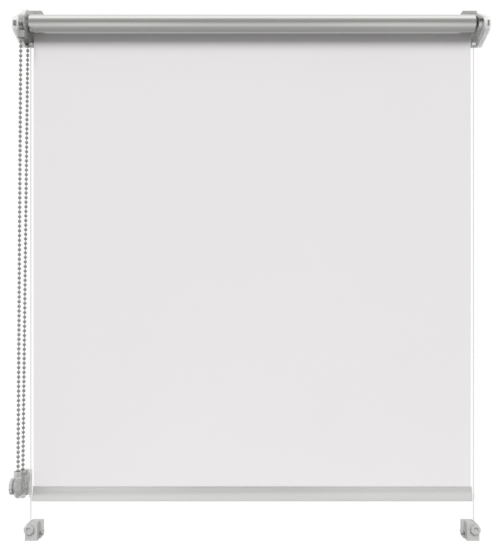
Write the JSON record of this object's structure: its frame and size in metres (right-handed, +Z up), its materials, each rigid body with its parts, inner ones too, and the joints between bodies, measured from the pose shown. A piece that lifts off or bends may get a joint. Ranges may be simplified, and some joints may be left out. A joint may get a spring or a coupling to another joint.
{
  "type": "roller blind",
  "caption": "Small roller blind with a chain drive, chain tensioner, tube with rolled cloth, hanging white cloth, bottom bar, side guide wires and clear end covers.",
  "frame": {"origin": "middle of the drive bracket's mounting face, level with the roller's axis", "axes": "+X along the roller from the drive side to the idler side, +Y into the window, +Z up"},
  "size_m": [0.6129, 0.0488, 0.6934],
  "materials": {
    "bracket_grey": "satin grey plated steel",
    "cover_clear": "clear moulded plastic with a faint grey tint",
    "housing_dark": "dark grey moulded plastic",
    "moulding_grey": "mid-grey moulded plastic",
    "moulding_clear": "frosted clear moulded plastic",
    "screw_steel": "zinc-plated steel",
    "spring_steel": "bright spring wire",
    "wire_steel": "thin steel wire in a clear coat",
    "chain_nickel": "nickel-plated bead chain",
    "cloth_white": "off-white blackout cloth, fine plain weave",
    "cloth_silver": "silver metallised back of the cloth",
    "bar_aluminium": "light grey satin extrusion",
    "tube_aluminium": "mill-finish tube",
    "cap_grey": "light grey moulded plastic",
    "tape_white": "double-sided tape",
    "spline_grey": "extruded plastic rod"
  },
  "bodies": {
    "mount": {"bracket_left": "bracket_grey", "bracket_left_screw_lower": "screw_steel", "bracket_left_screw_upper": "screw_steel", "bracket_right": "bracket_grey", "bracket_right_screw_lower": "screw_steel", "bracket_right_screw_upper": "screw_steel", "chain_bottom_loop": "chain_nickel", "chain_front_strand": "chain_nickel", "chain_rear_strand": "chain_nickel", "chain_top_loop": "chain_nickel", "cover_left": "cover_clear", "cover_right": "cover_clear", "drive_core": "housing_dark", "drive_housing": "moulding_clear", "fabric_sheet": "cloth_white", "guide_wire_left": "wire_steel", "guide_wire_right": "wire_steel", "holder_screw_left": "screw_steel", "holder_screw_right": "screw_steel", "idler_hub": "moulding_grey", "idler_pin": "screw_steel", "tensioner_body": "moulding_clear", "tensioner_pin": "screw_steel", "tensioner_screw_lower": "screw_steel", "tensioner_screw_upper": "screw_steel", "wire_ferrule_left": "wire_steel", "wire_ferrule_right": "wire_steel", "wire_holder_left": "moulding_clear", "wire_holder_right": "moulding_clear"},
    "roller": {"roller_tube": "tube_aluminium", "fabric_roll": "cloth_silver", "fixing_tape": "tape_white", "drive_plug": "housing_dark", "idler_plug": "housing_dark", "chain_wheel": "moulding_grey", "clutch_spring_1": "spring_steel", "clutch_spring_2": "spring_steel"},
    "bar": {"bottom_bar": "bar_aluminium", "bar_spline": "spline_grey", "fabric_hem": "cloth_white", "bar_cap_left": "cap_grey", "bar_cap_right": "cap_grey"},
    "pulley": {"tensioner_pulley": "moulding_grey"},
    "tension_knob": {"tensioner_knob": "moulding_clear"},
    "wire_knob_left": {"holder_knob_left": "moulding_clear"},
    "wire_knob_right": {"holder_knob_right": "moulding_clear"}
  },
  "joints": [
    {"name": "bar_lift", "type": "slide", "parent": "mount", "child": "bar", "axis": [0, 0, 1], "range_m": [0, 0.556], "deforming": ["fabric_sheet"]},
    {"name": "roller_spin", "type": "hinge", "parent": "mount", "child": "roller", "pos_m": [0.2841, -0.02075, 0], "axis": [1, 0, 0], "range_deg": [0, 2747]},
    {"name": "pulley_spin", "type": "hinge", "parent": "mount", "child": "pulley", "pos_m": [-0.0145, -0.02075, -0.5955], "axis": [1, 0, 0], "range_deg": [0, 4120]},
    {"name": "tension_knob_turn", "type": "hinge", "parent": "mount", "child": "tension_knob", "pos_m": [-0.0244, -0.02075, -0.5955], "axis": [1, 0, 0], "range_deg": [0, 270]},
    {"name": "wire_knob_left_turn", "type": "hinge", "parent": "mount", "child": "wire_knob_left", "pos_m": [-0.0048, -0.0165, -0.6529], "axis": [0, 1, 0], "range_deg": [0, 180]},
    {"name": "wire_knob_right_turn", "type": "hinge", "parent": "mount", "child": "wire_knob_right", "pos_m": [0.573, -0.0165, -0.6529], "axis": [0, 1, 0], "range_deg": [0, 180]}
  ],
  "couplings": [
    {"joint": "roller_spin", "follows": "bar_lift", "rad_per_m": 86.207},
    {"joint": "pulley_spin", "follows": "bar_lift", "rad_per_m": 129.31}
  ]
}
